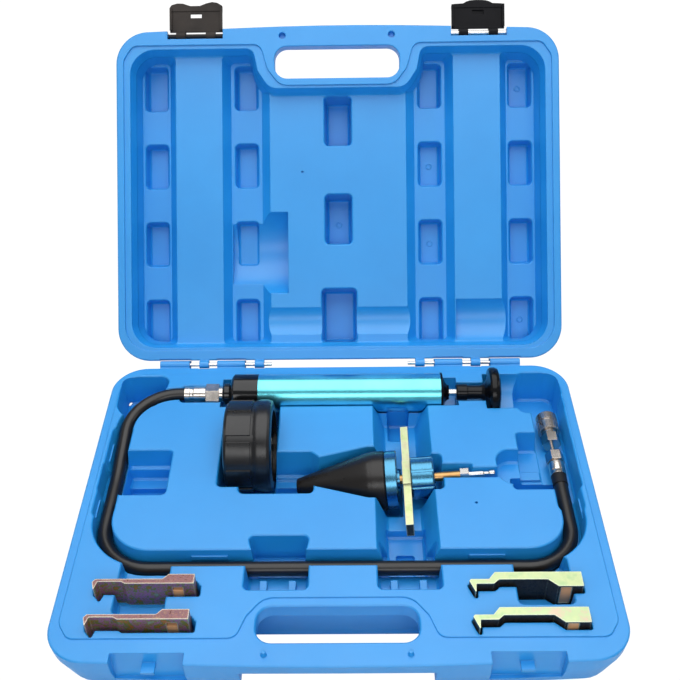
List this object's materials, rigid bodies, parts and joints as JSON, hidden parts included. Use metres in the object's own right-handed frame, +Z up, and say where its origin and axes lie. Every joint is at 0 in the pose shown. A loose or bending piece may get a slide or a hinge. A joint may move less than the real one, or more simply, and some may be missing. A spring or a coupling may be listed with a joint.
{
  "type": "radiator pressure tester kit",
  "caption": "Cooling-system pressure tester in an open blow-moulded case: hand pump with gauge, hose and quick coupler, cone adapter with clamp bar and hook claws.",
  "frame": {"origin": "middle of the flat face that the case's lower half rests on", "axes": "+X to the right, +Y from the grip towards the hinges, +Z up"},
  "size_m": [0.385, 0.5123, 0.2844],
  "materials": {
    "case_shell": "satin blow-moulded polyethylene",
    "latch_black": "moulded black",
    "black_nylon": "smooth black",
    "barrel_aqua": "anodised aqua",
    "blue_anodised": "anodised blue",
    "steel": "bright",
    "brass": "machined",
    "copper": "bare copper colour",
    "yellow_zinc": "yellow zinc plating",
    "claw_zinc_violet": "iridescent zinc plating",
    "claw_zinc_green": "iridescent zinc plating",
    "seal_rubber": "matt",
    "boot_rubber": "matt",
    "hose_rubber": "satin",
    "dial_white": "printed dial face",
    "pointer_black": "matt black",
    "lens": "clear"
  },
  "bodies": {
    "base": {"case_base": "case_shell", "hinge_pin_left": "steel", "hinge_pin_right": "steel"},
    "lid": {"case_lid": "case_shell", "latch_pin_left": "latch_black", "latch_pin_right": "latch_black"},
    "latch_left": {"latch_left": "latch_black"},
    "latch_right": {"latch_right": "latch_black"},
    "pump": {"pump_barrel": "barrel_aqua", "pump_head": "black_nylon", "pump_end_cap": "black_nylon", "check_valve_ball": "steel", "gauge_boot": "boot_rubber", "gauge_case": "steel", "gauge_stem": "brass", "gauge_movement": "brass", "gauge_bourdon_tube": "brass", "gauge_dial": "dial_white", "gauge_bezel": "steel", "gauge_lens": "lens", "swivel_nut": "brass", "hose_ferrule": "brass", "pressure_hose": "hose_rubber", "hose_end_sleeve": "hose_rubber", "coupler_ferrule": "brass", "coupler_nut": "brass", "coupler_stem": "brass", "coupler_collar": "brass", "coupler_body": "brass"},
    "plunger": {"piston_rod": "steel", "pump_piston": "black_nylon", "piston_seal": "seal_rubber", "piston_nut": "steel", "pump_knob": "black_nylon"},
    "pointer": {"gauge_pointer": "pointer_black"},
    "coupler_sleeve": {"coupler_sleeve": "brass"},
    "adapter": {"cone_seal": "seal_rubber", "threaded_stem": "brass", "pressure_disc": "blue_anodised", "stem_collar": "blue_anodised", "stem_hex": "brass", "connector_nipple": "steel"},
    "clamp_bar": {"clamp_bar": "yellow_zinc"},
    "knurled_nut": {"knurled_nut": "blue_anodised"},
    "claw_rear_left": {"claw_rear_left": "claw_zinc_violet", "claw_insert_rear_left": "copper"},
    "claw_front_left": {"claw_front_left": "claw_zinc_violet", "claw_insert_front_left": "copper"},
    "claw_rear_right": {"claw_rear_right": "claw_zinc_green", "claw_insert_rear_right": "copper"},
    "claw_front_right": {"claw_front_right": "claw_zinc_green", "claw_insert_front_right": "copper"}
  },
  "joints": [
    {"name": "lid_hinge", "type": "hinge", "parent": "base", "child": "lid", "pos_m": [0, 0.1496, 0.0452], "axis": [-1, 0, 0], "range_deg": [-130, 0]},
    {"name": "latch_left_hinge", "type": "hinge", "parent": "lid", "child": "latch_left", "pos_m": [-0.1235, 0.33942, 0.26162], "axis": [-1, 0, 0], "range_deg": [-90, 40]},
    {"name": "latch_right_hinge", "type": "hinge", "parent": "lid", "child": "latch_right", "pos_m": [0.1235, 0.33942, 0.26162], "axis": [-1, 0, 0], "range_deg": [-90, 40]},
    {"name": "pump_lift", "type": "slide", "parent": "base", "child": "pump", "axis": [0, 0, 1], "range_m": [0, 0.09]},
    {"name": "plunger_slide", "type": "slide", "parent": "pump", "child": "plunger", "axis": [1, 0, 0], "range_m": [0, 0.028]},
    {"name": "pointer_turn", "type": "hinge", "parent": "pump", "child": "pointer", "pos_m": [-0.0775, 0.0515, 0.045], "axis": [-1, 0, 0], "range_deg": [0, 270]},
    {"name": "coupler_sleeve_slide", "type": "slide", "parent": "pump", "child": "coupler_sleeve", "axis": [0, -1, 0], "range_m": [0, 0.0025], "stiffness_N_per_m": 400},
    {"name": "adapter_lift", "type": "slide", "parent": "base", "child": "adapter", "axis": [0, 0, 1], "range_m": [0, 0.09]},
    {"name": "clamp_bar_slide", "type": "slide", "parent": "adapter", "child": "clamp_bar", "axis": [0.9954, 0, 0.0958], "range_m": [-0.002, 0.002]},
    {"name": "nut_turn", "type": "hinge", "parent": "clamp_bar", "child": "knurled_nut", "pos_m": [0.0283, 0.0228, 0.0343], "axis": [0.9954, 0, 0.0958], "range_deg": [-725, 725]},
    {"name": "claw_rear_left_lift", "type": "slide", "parent": "base", "child": "claw_rear_left", "axis": [0, 0, 1], "range_m": [0, 0.05]},
    {"name": "claw_front_left_lift", "type": "slide", "parent": "base", "child": "claw_front_left", "axis": [0, 0, 1], "range_m": [0, 0.05]},
    {"name": "claw_rear_right_lift", "type": "slide", "parent": "base", "child": "claw_rear_right", "axis": [0, 0, 1], "range_m": [0, 0.05]},
    {"name": "claw_front_right_lift", "type": "slide", "parent": "base", "child": "claw_front_right", "axis": [0, 0, 1], "range_m": [0, 0.05]}
  ],
  "couplings": [
    {"joint": "nut_turn", "follows": "clamp_bar_slide", "rad_per_m": 6283.2}
  ]
}
